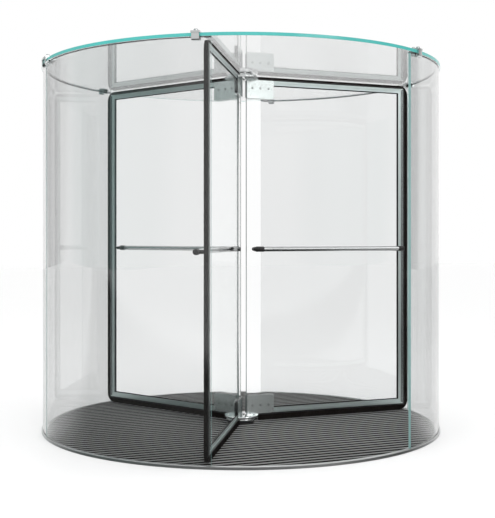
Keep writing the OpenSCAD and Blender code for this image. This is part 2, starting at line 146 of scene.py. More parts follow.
class RevolvingDoorColours(bpy.types.PropertyGroup):
    """Colours of the finishes, linear."""

    glass: colour("Curved glass", "What the curved glass lets through", (0.845, 0.85, 0.85))
    clear_glass: colour("Wing glass", "What the wing glass lets through", (0.985, 0.99, 0.99))
    ceiling_glass: colour("Ceiling glass", "What the ceiling glass lets through", (0.93, 0.935, 0.935))
    ceiling_edge: colour("Ceiling edge", "Ground edge of the ceiling glass", (0.10, 0.56, 0.52))
    glass_edge: colour("Glass edge", "Ground edge of the curved glass", (0.36, 0.58, 0.565))
    wing_edge: colour("Wing glass edge", "Ground edge of the wing glass", (0.20, 0.24, 0.235))
    ring: colour("Ring", "Brushed steel of the floor ring", (0.60, 0.61, 0.61))
    polished: colour("Polished steel", "Clamps, hubs and pivots", (0.70, 0.72, 0.72))
    patch: colour("Patch steel", "Satin steel of the patch fittings", (0.70, 0.75, 0.74))
    # Painted shade: a darker copy of the patch steel, put on the side and lower edges of the cover plates.
    patch_painted_shade_edge: colour("Patch edges", "Side and lower edges of the cover plates", (0.16, 0.17, 0.17))
    profile: colour("Profile", "Anodised aluminium of the profiles", (0.56, 0.63, 0.62))
    # Painted shade: a darker copy of the profile aluminium, put on the broad faces of the outer upright
    # profile only.
    side_profile: colour("Side profile", "Darker band of the outer profiles", (0.19, 0.21, 0.21))
    bar: colour("Bar steel", "Satin steel of the push bars", (0.48, 0.49, 0.49))
    plastic: colour("Black plastic", "Collars, standoffs and buttons", (0.018, 0.018, 0.018))
    rubber: colour("Rubber", "Seals and glazing beads", (0.012, 0.012, 0.012))
    bristle: colour("Bristles", "Nylon of the brush seals", (0.009, 0.007, 0.006))
    rib: colour("Mat ribs", "Ribs of the entrance mat", (0.35, 0.355, 0.35))
    carpet: colour("Mat carpet", "Strips between the ribs", (0.011, 0.010, 0.009))
    dark_steel: colour("Dark steel", "Floor bearing", (0.035, 0.035, 0.036))


def sizes():
    """The size settings of the scene."""
    return bpy.context.scene.revolving_door_sizes


def colours():
    """The colour settings of the scene."""
    return bpy.context.scene.revolving_door_colours


# ---- shapes: each is a dict of points, faces, the index of its finish and its own pattern places ----


def grid(points, close_u=False, close_v=False, caps=False, slot=0):
    """Surface through a grid of points p(u, v): each cell of four neighbours is one face.

    A closed direction joins its last row to its first, and caps fill the first and last rows.
    """
    m, n = points.shape[:2]
    index = np.arange(m * n).reshape(m, n)
    u0 = index if close_u else index[:-1]
    u1 = np.roll(index, -1, 0) if close_u else index[1:]
    if close_v:
        cells = (u0, u1, np.roll(u1, -1, 1), np.roll(u0, -1, 1))
    else:
        cells = (u0[:, :-1], u1[:, :-1], u1[:, 1:], u0[:, 1:])
    faces = [tuple(f) for f in np.stack(cells, -1).reshape(-1, 4).tolist()]
    if caps:
        faces += [tuple(index[0].tolist()), tuple(index[-1].tolist()[::-1])]
    return {"points": points.reshape(-1, 3), "faces": faces, "finish": [slot] * len(faces)}


def turned(rows, origin, axis, around=48, slot=0):
    """Body turned on an axis: p(u, v) = origin + along(u) axis + radius(u, v) (cos v, sin v) across it.

    A row is (along, radius) or (along, radius, 6), where 6 makes it a hexagon of that radius across flats.
    """
    axis = np.asarray(axis, float) / np.linalg.norm(axis)
    side = np.cross(axis, (0, 0, 1) if abs(axis[2]) < 0.9 else (1, 0, 0))
    side /= np.linalg.norm(side)
    up = np.cross(axis, side)
    v = np.arange(around) * 2 * np.pi / around
    flat = 1 / np.cos((v + np.pi / 6) % (np.pi / 3) - np.pi / 6)
    radius = np.array([row[1] * (flat if len(row) > 2 else 1.0) * np.ones(around) for row in rows])
    along = np.array([row[0] for row in rows])
    round_about = np.cos(v)[:, None] * side + np.sin(v)[:, None] * up
    points = np.asarray(origin, float) + along[:, None, None] * axis + radius[..., None] * round_about
    return grid(points, close_v=True, caps=True, slot=slot)


def swept(section, deg0, deg1, steps, slot=0):
    """Section of (radius, height) points carried round the axis: p(u, v) = (r cos u, r sin u, z)."""
    u = np.radians(np.linspace(deg0, deg1, steps + 1))
    r, z = np.asarray(section, float).T
    points = np.stack([np.outer(np.cos(u), r), np.outer(np.sin(u), r), np.tile(z, (len(u), 1))], -1)
    full = abs(deg1 - deg0 - 360) < 1e-6
    return grid(points[:-1] if full else points, close_u=full, close_v=True, caps=not full, slot=slot)


def slab(outline, y0, y1, slot=0):
    """Plate of an (x, z) outline between two depths: p(u, v) = (x(v), y(u), z(v)), closed by two caps."""
    x, z = np.asarray(outline, float).T
    points = np.stack([np.stack([x, np.full_like(x, y), z], -1) for y in (y0, y1)])
    return grid(points, close_v=True, caps=True, slot=slot)


def rounded_rectangle(x0, x1, z0, z1, radius, per_corner=8):
    """Outline of a rectangle whose corners are quarter circles: centre + radius (cos a, sin a)."""
    corners = ((x1 - radius, z1 - radius, 0), (x0 + radius, z1 - radius, 90),
               (x0 + radius, z0 + radius, 180), (x1 - radius, z0 + radius, 270))
    a = np.radians(np.linspace(0, 90, per_corner + 1))
    turns = [(cx, cz, a + np.radians(start)) for cx, cz, start in corners]
    return np.concatenate([np.stack([cx + radius * np.cos(t), cz + radius * np.sin(t)], -1)
                           for cx, cz, t in turns])


def box_shape(low, high, slot=0):
    """Box between two corners."""
    (x0, y0, z0), (x1, y1, z1) = low, high
    return slab([(x0, z0), (x1, z0), (x1, z1), (x0, z1)], y0, y1, slot)


def placed(shape, deg=0.0, shift=(0, 0, 0)):
    """The shape moved, then turned about the axis, with its points before the turn kept for patterns."""
    points = shape["points"] + np.asarray(shift, float)
    c, s = np.cos(np.radians(deg)), np.sin(np.radians(deg))
    turn = np.array([[c, s, 0], [-s, c, 0], [0, 0, 1]])
    return {**shape, "points": points @ turn, "place": shape.get("place", points)}


def rolled_out(shape, radius):
    """The shape with pattern places along the rim: (angle times radius, distance from the axis, height)."""
    x, y, z = shape["points"].T
    return {**shape, "place": np.stack([np.arctan2(y, x) * radius, np.hypot(x, y), z], -1)}


def piece(name, shapes, body, finishes, replaces=(), bevel=0.0, smooth_deg=35.0, outward=True):
    """One object from several shapes, with finishes given by name.

    It rides on the body and stands for the CAD nodes it replaces.
    """
    points, faces, slots, place, start = [], [], [], [], 0
    for shape in shapes:
        points.append(shape["points"])
        place.append(shape.get("place", shape["points"]))
        faces += [tuple(i + start for i in face) for face in shape["faces"]]
        slots += shape["finish"]
        start += len(shape["points"])
    mesh = bpy.data.meshes.new(name)
    mesh.from_pydata(np.concatenate(points).tolist(), [], faces)
    mesh.polygons.foreach_set("material_index", slots)
    pattern = mesh.attributes.new("place", "FLOAT_VECTOR", "POINT")
    pattern.data.foreach_set("vector", np.concatenate(place).astype(np.float32).ravel())
    if outward:
        shell = bmesh.new()
        shell.from_mesh(mesh)
        bmesh.ops.recalc_face_normals(shell, faces=shell.faces)
        shell.to_mesh(mesh)
        shell.free()
    mesh.polygons.foreach_set("use_smooth", [True] * len(mesh.polygons))
    mesh.set_sharp_from_angle(angle=np.radians(smooth_deg))
    for key in finishes:
        mesh.materials.append(finish(key))
    obj = bpy.data.objects.new(name, mesh)
    bpy.context.scene.collection.objects.link(obj)
    if bevel:
        edge = obj.modifiers.new("Edges", "BEVEL")
        edge.width, edge.segments, edge.limit_method = bevel, 2, "ANGLE"
        edge.angle_limit, edge.harden_normals = np.radians(smooth_deg), True
    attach(obj, body)
    if replaces:
        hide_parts(*replaces)
    return obj


# ---- finishes ----


class Finish:
    """A material built node by node round one Principled shader."""

    def __init__(self, name, base, roughness, metallic=0.0, **sockets):
        self.material = bpy.data.materials.new(name)
        self.material.use_nodes = True
        self.nodes, self.links = self.material.node_tree.nodes, self.material.node_tree.links
        self.shader = self.nodes["Principled BSDF"]
        self.output = self.nodes["Material Output"]
        self.base = (*base, 1.0)
        self.shader.inputs["Base Color"].default_value = self.base
        self.shader.inputs["Roughness"].default_value = roughness
        self.shader.inputs["Metallic"].default_value = metallic
        for socket, value in sockets.items():
            self.shader.inputs[socket.replace("_", " ")].default_value = value

    def add(self, kind, settings=None, **inputs):
        """A node with its settings, and its inputs linked or set."""
        node = self.nodes.new(kind)
        for key, value in (settings or {}).items():
            setattr(node, key, value)
        for key, value in inputs.items():
            socket = node.inputs[key.replace("_", " ")]
            if isinstance(value, bpy.types.NodeSocket):
                self.links.new(value, socket)
            else:
                socket.default_value = value
        return node

    def pattern_place(self, scale):
        """The piece's own pattern places, stretched by scale."""
        place = self.add("ShaderNodeAttribute", {"attribute_name": "place"})
        return self.add("ShaderNodeMapping", Vector=place.outputs["Vector"], Scale=scale).outputs[0]

    def noise(self, scale, detail=3.0, rough=0.5):
        """Noise from 0 to 1 in the piece's own places, stretched by scale."""
        return self.add("ShaderNodeTexNoise", Vector=self.pattern_place(scale), Scale=1.0, Detail=detail,
                        Roughness=rough).outputs["Fac"]

    def span(self, factor, low, high, start=0.0, end=1.0):
        """The factor from start to end spread over low to high."""
        return self.add("ShaderNodeMapRange", None, Value=factor, From_Min=start, From_Max=end, To_Min=low,
                        To_Max=high).outputs["Result"]

    def blend(self, factor, first, second):
        """A colour between two colours."""
        mix = self.nodes.new("ShaderNodeMix")
        mix.data_type = "RGBA"
        ends = [socket for socket in mix.inputs if socket.type == "RGBA"]
        for socket, value in zip(ends, (first, second)):
            socket.default_value = (*(min(1.0, c) for c in value), 1.0)
        self.links.new(factor, mix.inputs["Factor"])
        return next(socket for socket in mix.outputs if socket.type == "RGBA")

    def times(self, first, second):
        """Two factors multiplied."""
        node = self.nodes.new("ShaderNodeMath")
        node.operation = "MULTIPLY"
        self.links.new(first, node.inputs[0])
        self.links.new(second, node.inputs[1])
        return node.outputs[0]

    def shade(self, factor, dark, light):
        """The base colour varied from dark to light times itself."""
        ends = [tuple(c * share for c in self.base[:3]) for share in (dark, light)]
        self.links.new(self.blend(factor, *ends), self.shader.inputs["Base Color"])

    def roughness(self, factor, low, high):
        """Roughness varied by a factor."""
        self.links.new(self.span(factor, low, high), self.shader.inputs["Roughness"])

    def bump(self, height, strength, distance):
        """A fine relief."""
        bump = self.add("ShaderNodeBump", None, Height=height, Strength=strength, Distance=distance)
        self.links.new(bump.outputs["Normal"], self.shader.inputs["Normal"])

    def let_lamps_through(self, tint):
        """Shadows pass the glass, coloured by tint."""
        path = self.add("ShaderNodeLightPath")
        clear = self.add("ShaderNodeBsdfTransparent", None, Color=(*tint, 1.0))
        mix = self.add("ShaderNodeMixShader")
        self.links.new(path.outputs["Is Shadow Ray"], mix.inputs[0])
        self.links.new(self.shader.outputs[0], mix.inputs[1])
        self.links.new(clear.outputs[0], mix.inputs[2])
        self.links.new(mix.outputs[0], self.output.inputs["Surface"])


def finish_glass(name, tint, waviness, bending=1.5):
    """Clear glass: smooth, with a trace of dust in its roughness and shadows that stay light."""
    made = Finish(name, tint, 0.0, Transmission_Weight=1.0, IOR=bending)
    made.roughness(made.noise((0.8, 0.8, 1.6), 4.0), 0.0, waviness)
    made.let_lamps_through(tint)
    return made.material


def finish_edge(name, tint, density):
    """Ground glass edge: bright with the light that the sheet carries to it, with faint grinding lines."""
    made = Finish(name, tint, 0.12, Transmission_Weight=density, IOR=1.45, Specular_IOR_Level=0.6)
    made.shade(made.noise((1.7, 30.0, 1.3), 2.0), 0.78, 1.22)
    made.roughness(made.noise((40.0, 900.0, 900.0), 2.0), 0.06, 0.2)
    return made.material


def finish_brushed(name, base, along, rough=(0.2, 0.34), spread=0.05, relief=0.00002):
    """Brushed metal: long fine lines along one of the pattern directions."""
    made = Finish(name, base, rough[0], 1.0)
    scale = [1400.0, 1400.0, 1400.0]
    scale[along] = 6.0
    lines = made.noise(tuple(scale), 4.0, 0.6)
    made.shade(lines, 1 - spread, 1 + spread)
    made.roughness(lines, *rough)
    made.bump(lines, 0.25, relief)
    return made.material


def finish_polished(name, base):
    """Polished steel with faint rubbing marks."""
    made = Finish(name, base, 0.1, 1.0)
    marks = made.noise((160.0, 160.0, 160.0), 6.0, 0.65)
    made.shade(marks, 0.95, 1.05)
    made.roughness(marks, 0.05, 0.17)
    return made.material


def finish_soft(name, base, rough, grain, relief):
    """Rubber or plastic with a fine moulded grain."""
    made = Finish(name, base, rough[0], Specular_IOR_Level=0.4)
    spots = made.noise((grain, grain, grain), 5.0, 0.7)
    made.shade(spots, 0.75, 1.3)
    made.roughness(spots, *rough)
    made.bump(spots, 0.4, relief)
    return made.material


def finish_carpet(name, base):
    """Cut carpet pile: fine speckles with a strong grain."""
    made = Finish(name, base, 0.9, Specular_IOR_Level=0.08)
    pile = made.noise((700.0, 700.0, 700.0), 6.0, 0.8)
    made.shade(pile, 0.35, 1.8)
    made.bump(pile, 0.8, 0.0006)
    return made.material


def finish_bristles(name, base):
    """Nylon bristles: streaks along them, a little shine on each."""
    made = Finish(name, base, 0.6, Specular_IOR_Level=0.12)
    streaks = made.noise((420.0, 420.0, 420.0), 3.0, 0.6)
    made.shade(streaks, 0.5, 1.9)
    made.roughness(streaks, 0.5, 0.75)
    return made.material


FINISHES = {}


def finish(name):
    """The named finish, made the first time it is asked for."""
    c = colours()
    makers = {
        "curved_glass": lambda: finish_glass("curved_glass", c.glass, 0.012),
        "wing_glass": lambda: finish_glass("wing_glass", c.clear_glass, 0.006, 1.12),
        "ceiling_glass": lambda: finish_glass("ceiling_glass", c.ceiling_glass, 0.008),
        "curved_edge": lambda: finish_edge("curved_glass_edge", c.glass_edge, 0.35),
        "wing_edge": lambda: finish_edge("wing_glass_edge", c.wing_edge, 0.0),
        "ceiling_edge": lambda: finish_edge("ceiling_glass_edge", c.ceiling_edge, 0.25),
        "ring_steel": lambda: finish_brushed("ring_steel", c.ring, 0, (0.26, 0.4)),
        "polished_steel": lambda: finish_polished("polished_steel", c.polished),
        "patch_steel": lambda: finish_brushed("patch_steel", c.patch, 0, (0.2, 0.3), 0.04),
        # Painted shade: darker patch steel for the edges of the cover plates.
        "patch_painted_shade_edge": lambda: finish_brushed("patch_edge_steel", c.patch_painted_shade_edge, 0, (0.2, 0.3), 0.08),
        "profile": lambda: finish_brushed("profile_aluminium", c.profile, 2, (0.26, 0.36), 0.04),
        # Painted shade: darker aluminium for the broad faces of the outer upright profile.
        "side_profile": lambda: finish_brushed("side_profile_painted_shade", c.side_profile, 2, (0.22, 0.32),
                                               0.08),
        "bar_steel": lambda: finish_brushed("bar_steel", c.bar, 0, (0.04, 0.08), 0.05),
        "black_plastic": lambda: finish_soft("black_plastic", c.plastic, (0.28, 0.42), 900.0, 0.00004),
        "seal_rubber": lambda: finish_soft("seal_rubber", c.rubber, (0.5, 0.7), 1200.0, 0.00008),
        "brush": lambda: finish_bristles("brush_bristles", c.bristle),
        "mat_rib": lambda: finish_brushed("mat_rib", c.rib, 0, (0.38, 0.52), 0.12, 0.00006),
        "carpet": lambda: finish_carpet("mat_carpet", c.carpet),
        "dark_steel": lambda: finish_soft("dark_steel", c.dark_steel, (0.3, 0.5), 300.0, 0.00005),
    }
    if name not in FINISHES:
        FINISHES[name] = makers[name]()
    return FINISHES[name]


# ---- drum ----


def drum_places():
    """Radii and heights of the drum, read from the CAD boxes."""
    low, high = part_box("right_front_glass")
    ceiling_low, ceiling_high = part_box("ceiling_glass")
    ring_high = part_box("floor_ring")[1]
    outer = high.x
    return {
        "outer": outer, "inner": outer - sizes().drum_glass, "glass_z0": low.z, "glass_z1": high.z,
        "rim": ceiling_high.x, "clear": ceiling_low.z, "top": ceiling_high.z, "ring_top": ring_high.z,
    }


def ground_rectangle(a0, a1, b0, b1, arris):
    """Rectangle whose four corners are cut by the arris."""
    return [(a0 + arris, b0), (a1 - arris, b0), (a1, b0 + arris), (a1, b1 - arris),
            (a1 - arris, b1), (a0 + arris, b1), (a0, b1 - arris), (a0, b0 + arris)]


class DOOR_OT_curved_glass(bpy.types.Operator):
    """Build the four curved glass sheets of the side walls"""

    bl_idname = "revolving_door.curved_glass"
    bl_label = "Curved Glass"

    def execute(self, context):
        s, d = sizes(), drum_places()
        gap = np.degrees(s.butt_gap / 2 / d["inner"])
        section = ground_rectangle(d["inner"], d["outer"], d["glass_z0"], d["glass_z1"], s.arris)
        for side, middle in SIDES.items():
            turn_to_front = -1 if side == "right" else 1
            for end, way in (("front", turn_to_front), ("rear", -turn_to_front)):
                ends = sorted((middle + way * gap, middle + way * s.side_half_angle))
                sheet = swept(section, *ends, 60)
                cells = len(section)
                sheet["finish"] = [0] * (60 * cells) + [1, 1]
                name = f"{side}_{end}_glass"
                piece(f"curved_{name}", [rolled_out(sheet, d["outer"])], "drum",
                      ["curved_glass", "curved_edge"], [name])
        return {"FINISHED"}


class DOOR_OT_top_seals(bpy.types.Operator):
    """Build the black seals between the curved glass and the ceiling.

    A seal's section is a superellipse: across = half width sign(cos a) |cos a|^0.5 and
    up = half height sign(sin a) |sin a|^0.3.
    """

    bl_idname = "revolving_door.top_seals"
    bl_label = "Top Seals"

    def execute(self, context):
        s, d = sizes(), drum_places()
        middle_r = (d["outer"] + d["inner"]) / 2
        a = np.linspace(0, 2 * np.pi, 16, endpoint=False) + np.pi / 16
        across, up = np.cos(a), np.sin(a)
        height = (d["clear"] - d["glass_z1"]) / 2
        bulge = np.stack([middle_r + s.seal_width / 2 * np.sign(across) * np.abs(across) ** 0.5,
                          d["glass_z1"] + height + height * np.sign(up) * np.abs(up) ** 0.3], -1)
        for side, middle in SIDES.items():
            seal = swept(bulge, middle - s.side_half_angle, middle + s.side_half_angle, 96)
            piece(f"{side}_seal", [rolled_out(seal, middle_r)], "drum",
                  ["seal_rubber"], [f"{side}_top_seal"])
        return {"FINISHED"}


class DOOR_OT_ceiling(bpy.types.Operator):
    """Build the round ceiling glass with its ground edge"""

    bl_idname = "revolving_door.ceiling"
    bl_label = "Ceiling Glass"

    def execute(self, context):
        s, d = sizes(), drum_places()
        c = s.arris
        section = [(s.bearing_hole, d["clear"]), (d["rim"] - c, d["clear"]), (d["rim"], d["clear"] + c),
                   (d["rim"], d["top"] - c), (d["rim"] - c, d["top"]), (s.bearing_hole, d["top"])]
        disc = swept(section, 0, 360, 240)
        disc["finish"] = [0 if i % 6 in (0, 4, 5) else 1 for i in range(240 * 6)]
        piece("ceiling_disc", [rolled_out(disc, d["rim"])], "drum",
              ["ceiling_glass", "ceiling_edge"], ["ceiling_glass"])
        return {"FINISHED"}


class DOOR_OT_floor_ring(bpy.types.Operator):
    """Build the steel ring that the curved glass stands in"""

    bl_idname = "revolving_door.floor_ring"
    bl_label = "Floor Ring"

    def execute(self, context):
        s, d = sizes(), drum_places()
        top, r0, r1 = d["ring_top"], d["rim"] - s.ring_width, d["rim"]
        g0, g1, gz = d["inner"] - GROOVE_GAP, d["outer"] + GROOVE_GAP, top - s.groove_depth
        plain = [(r0, 0), (r1, 0), (r1, top), (r0, top)]
        grooved = [(r0, 0), (r1, 0), (r1, top), (g1, top), (g1, gz), (g0, gz), (g0, top), (r0, top)]
        half = s.side_half_angle
        shapes = [swept(grooved, -half, half, 96), swept(grooved, 180 - half, 180 + half, 96),
                  swept(plain, half, 180 - half, 48), swept(plain, 180 + half, 360 - half, 48)]
        piece("steel_floor_ring", [rolled_out(x, r1) for x in shapes], "drum",
              ["ring_steel"], ["floor_ring"], bevel=0.0012)
        return {"FINISHED"}


def mat_bar(y, start, stop, low, high, width):
    """One rib across the mat: a grooved profile of (y, z) points run along X between two ends.

    An end is a side, -1 or 1, and a radius: each point of the profile ends at x = side sqrt(radius^2 - y^2).
    """
    c, foot, shoulder, crown, groove = 0.0012, low - 0.001, high - 0.0012, high, high - 0.0016
    half = [(-0.5, 0, foot), (-0.5, 0, shoulder), (-0.5, c, crown), (-0.22, -c, crown), (-0.22, 0, groove),
            (-0.15, 0, groove), (-0.15, c, crown)]
    share, extra, z = np.array(half + [(-a, -b, level) for a, b, level in half[::-1]]).T
    across = y + share * width + extra
    ends = [side * np.sqrt(np.maximum(radius ** 2 - across ** 2, 0)) for side, radius in (start, stop)]
    points = np.stack([np.stack([x, across, z], -1) for x in ends])
    return grid(points, close_v=True, caps=True)


class DOOR_OT_mat(bpy.types.Operator):
    """Build the entrance mat: carpet strips between light ribs"""

    bl_idname = "revolving_door.mat"
    bl_label = "Entrance Mat"

    def execute(self, context):
        s = sizes()
        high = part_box("floor_mat")[1]
        outer, top = high.x, high.z
        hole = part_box("floor_bearing")[1].x + 0.001
        carpet_z = top - s.rib_height
        base = swept([(hole, 0.001), (outer, 0.001), (outer, carpet_z), (hole, carpet_z)], 0, 360, 192)
        piece("mat_carpet", [base], "drum", ["carpet"], ["floor_mat"])
        edge_width = 0.003
        edge = swept([(outer - edge_width, 0), (outer, 0), (outer, top), (outer - edge_width, top)],
                     0, 360, 240)
        shapes, reach = [edge], outer - edge_width - 0.0005
        left, right, hole_left, hole_right = (-1, reach), (1, reach), (-1, hole), (1, hole)
        count = int((reach - s.rib_width / 2) / s.rib_pitch)
        for k in range(-count, count + 1):
            y = k * s.rib_pitch
            if abs(y) + s.rib_width / 2 > reach:
                continue
            clear = abs(y) - s.rib_width / 2 > hole
            for ends in [(left, right)] if clear else [(left, hole_left), (hole_right, right)]:
                shapes.append(mat_bar(y, *ends, carpet_z, top, s.rib_width))
        piece("mat_ribs", shapes, "drum", ["mat_rib"])
        return {"FINISHED"}


# ---- clamps ----


def bolt(x, y, z0, diameter, height):
    """Button-head bolt: a low dome with a hexagon socket, standing on z0."""
    r = diameter / 2
    a = np.linspace(0, 1, 7)[1:] * np.pi / 2
    dome = [(height * 0.35 + height * 0.65 * np.sin(t), r * (0.62 + 0.38 * np.cos(t))) for t in a]
    socket = r * 0.42
    rows = [(0.0, r), (height * 0.35, r), *dome, (height, socket + 0.001), (height - 0.0004, socket, 6),
            (height * 0.4, socket, 6)]
    return turned(rows, (x, y, z0), (0, 0, 1), 36)


def clamp_shapes(middle, plate_width, legs, leg_width):
    """A clamp at one angle of the rim: top plate, inner jaw, legs over the rim, and bolts.

    Each block is a section of (radius, height) points carried over the angle that its width takes.
    """
    s, d = sizes(), drum_places()
    outer, gap = d["rim"] + 0.010, GLASS_GAP
    plate_top = d["top"] + s.clamp_plate
    jaw_in, jaw_out = d["inner"] - gap - s.clamp_jaw_reach, d["inner"] - gap

    def block(section, mid, width):
        half = np.degrees(np.arcsin(width / 2 / outer))
        return swept(section, mid - half, mid + half, 10)

    def rectangle(r0, r1, z0, z1):
        return [(r0, z0), (r1, z0), (r1, z1), (r0, z1)]

    jaw_z = d["clear"] - s.clamp_jaw_height
    shapes = [
        block(rectangle(jaw_in - 0.012, outer, d["top"], plate_top), middle, plate_width),
        block([(jaw_in + 0.005, jaw_z), (jaw_out, jaw_z), (jaw_out, d["clear"]), (jaw_in, d["clear"]),
               (jaw_in, jaw_z + 0.005), (jaw_in + 0.0015, jaw_z + 0.0015)], middle, s.clamp_width),
    ]
    a, bolt_r = np.radians(middle), (jaw_in + d["inner"]) / 2
    heads = [(bolt_r * np.cos(a), bolt_r * np.sin(a))]
    for off in legs:
        mid = middle + np.degrees(np.arcsin(off / outer))
        z0 = d["clear"] - s.clamp_drop
        face, top = outer - 0.001, d["top"] - 0.0005
        shapes.append(block([(d["outer"] + gap, z0), (face - 0.005, z0), (face, z0 + 0.005), (face, top),
                             (d["rim"] + gap, top), (d["rim"] + gap, d["clear"] - gap),
                             (d["outer"] + gap, d["clear"] - gap)], mid, leg_width))
        r, t = d["rim"] - s.clamp_head / 2 + 0.004, np.radians(mid)
        heads.append((r * np.cos(t), r * np.sin(t)))
    shapes += [bolt(x, y, plate_top - SEATED, s.clamp_head, s.clamp_head_height) for x, y in heads]
    return [rolled_out(x, outer) for x in shapes]


class DOOR_OT_clamps(bpy.types.Operator):
    """Build the six clamps that join the curved glass to the ceiling"""

    bl_idname = "revolving_door.clamps"
    bl_label = "Ceiling Clamps"

    def execute(self, context):
        s = sizes()
        reach, overhang = s.side_half_angle - s.clamp_inset, 0.008
        for side, middle in SIDES.items():
            to_front = -reach if side == "right" else reach
            half = s.clamp_pitch / 2
            for end, deg, width, legs, leg in (
                    ("front", middle + to_front, s.clamp_width, [0.0], s.clamp_width),
                    ("rear", middle - to_front, s.clamp_width, [0.0], s.clamp_width),
                    ("middle", middle, s.clamp_pitch + s.clamp_leg, [-half, half], s.clamp_leg)):
                piece(f"{side}_{end}_steel_clamp", clamp_shapes(deg, width + overhang, legs, leg), "drum",
                      ["polished_steel"], [f"{side}_{end}_clamp"], bevel=0.0011)
        return {"FINISHED"}


# ---- pivots and hubs ----


class DOOR_OT_pivots(bpy.types.Operator):
    """Build the floor and ceiling bearings with their pins"""

    bl_idname = "revolving_door.pivots"
    bl_label = "Pivots"

    def execute(self, context):
        s, d = sizes(), drum_places()
        running_gap, tip, rim = 0.0055, 0.0015, 0.003
        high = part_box("floor_bearing")[1]
        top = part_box("bottom_hub")[0].z - running_gap
        shape = turned([(0, high.x), (top - rim, high.x), (top, high.x - rim), (top, s.pin),
                        (high.z - tip, s.pin), (high.z, s.pin - tip)], (0, 0, 0), (0, 0, 1), 128)
        piece("floor_pivot", [shape], "drum", ["dark_steel"], ["floor_bearing"])
        low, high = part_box("ceiling_bearing")
        neck, flange, dish = s.bearing_hole - 0.001, 0.060, 0.030
        under = d["clear"] - 0.004
        shape = turned([
            (low.z, s.pin - tip), (low.z + tip, s.pin), (under, s.pin), (under, flange - 0.001),
            (under + 0.001, flange), (d["clear"], flange), (d["clear"], neck), (d["top"], neck),
            (d["top"], high.x), (high.z - rim, high.x), (high.z - 0.0008, high.x - 0.0012),
            (high.z, high.x - 0.0035), (high.z, dish), (high.z - 0.002, dish - 0.002)],
            (0, 0, 0), (0, 0, 1), 128)
        piece("ceiling_pivot", [shape], "drum", ["polished_steel"], ["ceiling_bearing"])
        return {"FINISHED"}


def hub_rows(height, radius, outer_tier, groove_height, tier, cap, bore, recess=None):
    """Half section of a hub as (height, radius), from the bore in its outer face to the middle of its cap.

    A recess is a (radius, depth) in the outer face.
    """
    edge, bore_depth, groove_in, cap_edge, cap_height = 0.0016, 0.015, 0.004, 0.004, 0.008
    soft, t0, t1 = edge * 0.35, height - tier - groove_height, height - tier
    sunk = recess[1] if recess else 0
    start = [(bore_depth + sunk, 0.001), (bore_depth + sunk, bore), (sunk, bore)]
    face = [(sunk, recess[0]), (0, recess[0])] if recess else []
    return start + face + [
        (0, outer_tier - edge), (soft, outer_tier - soft), (edge, outer_tier), (t0 - edge, outer_tier),
        (t0 - edge * 0.3, outer_tier - edge * 0.3), (t0, outer_tier - edge), (t0, outer_tier - groove_in),
        (t1, outer_tier - groove_in), (t1, radius - edge), (t1 + soft, radius - soft), (t1 + edge, radius),
        (height - edge, radius), (height - soft, radius - soft), (height, radius - edge), (height, cap),
        (height + cap_height - cap_edge, cap), (height + cap_height, cap - cap_edge),
        (height + cap_height, 0.001)]


def grub_screw(deg, radius, z, size, depth=0.002):
    """Set screw in the side of a hub, its socket facing outwards."""
    a = np.radians(deg)
    out = np.array((np.cos(a), np.sin(a), 0))
    proud, socket = 0.0006, size * 0.55
    rows = [(-0.004, size), (-SEATED, size), (proud, size * 0.9), (proud, socket, 6), (-depth, socket, 6)]
    return turned(rows, out * radius + (0, 0, z), out, 24, slot=1)


class DOOR_OT_hubs(bpy.types.Operator):
    """Build the polished two-tier hubs that hold the wings together"""

    bl_idname = "revolving_door.hubs"
    bl_label = "Hubs"

    def execute(self, context):
        s = sizes()
        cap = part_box("right_wing_glass")[0].x - 0.011
        frame_low, frame_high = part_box("right_wing_frame")
        hubs = (("bottom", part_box("bottom_hub")[0].z, frame_low.z, 1, None),
                ("top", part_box("top_hub")[1].z, frame_high.z, -1, (0.066, 0.005)))
        for level, outer_z, face, way, recess in hubs:
            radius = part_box(f"{level}_hub")[1].x
            rows = hub_rows(abs(face - outer_z), radius, s.hub_outer_tier, s.hub_groove, s.hub_tier, cap,
                            s.pin + PIN_CLEARANCE, recess)
            shapes = [turned(rows, (0, 0, outer_z), (0, 0, way), 128)]
            shapes += [grub_screw(deg, radius, face - way * s.hub_tier / 2, 0.0042) for deg in THIRDS]
            for a in np.radians(HUB_BOLT_ANGLES):
                head = bolt(0, 0, 0, HUB_BOLT_HEAD, HUB_BOLT_HEIGHT)
                head["points"] = head["points"] * (1, 1, way)
                shapes.append(placed(head, 0, (HUB_BOLT_CIRCLE * np.cos(a), HUB_BOLT_CIRCLE * np.sin(a),
                                               face - way * SEATED)))
            piece(f"{level}_steel_hub", shapes, "turnstile",
                  ["polished_steel", "dark_steel"], [f"{level}_hub"])
        return {"FINISHED"}


# ---- wings, each drawn along +X and turned to its place ----


def plate_with_hole(x0, x1, z0, z1, half, arris, hole_x, hole_z, hole_r, around=72):
    """Glass plate with one round hole: p(u, v) runs, at each angle v about the hole, out over one face,
    round the ground edge and back over the other face.
    """
    corners = [np.arctan2(z - hole_z, x - hole_x) for x in (x0, x1) for z in (z0, z1)]
    v = np.sort(np.concatenate([np.linspace(-np.pi, np.pi, around, endpoint=False), corners]))
    way = np.stack([np.cos(v), np.sin(v)], -1)

    def on_edge(inset):
        room = np.where(way > 0, (x1 - inset - hole_x, z1 - inset - hole_z),
                        (hole_x - x0 - inset, hole_z - z0 - inset))
        reach = (room / np.maximum(np.abs(way), 1e-9)).min(axis=1)
        return (hole_x, hole_z) + way * reach[:, None]

    rim = (hole_x, hole_z) + way * hole_r
    rows = [(rim, half), (on_edge(arris), half), (on_edge(0), half - arris), (on_edge(0), arris - half),
            (on_edge(arris), -half), (rim, -half)]
    points = np.stack([np.stack([xz[:, 0], np.full(len(v), y), xz[:, 1]], -1) for xz, y in rows])
    shape = grid(points, close_u=True, close_v=True)
    shape["finish"] = [0 if i // len(v) in (0, 4) else 1 for i in range(6 * len(v))]
    return shape


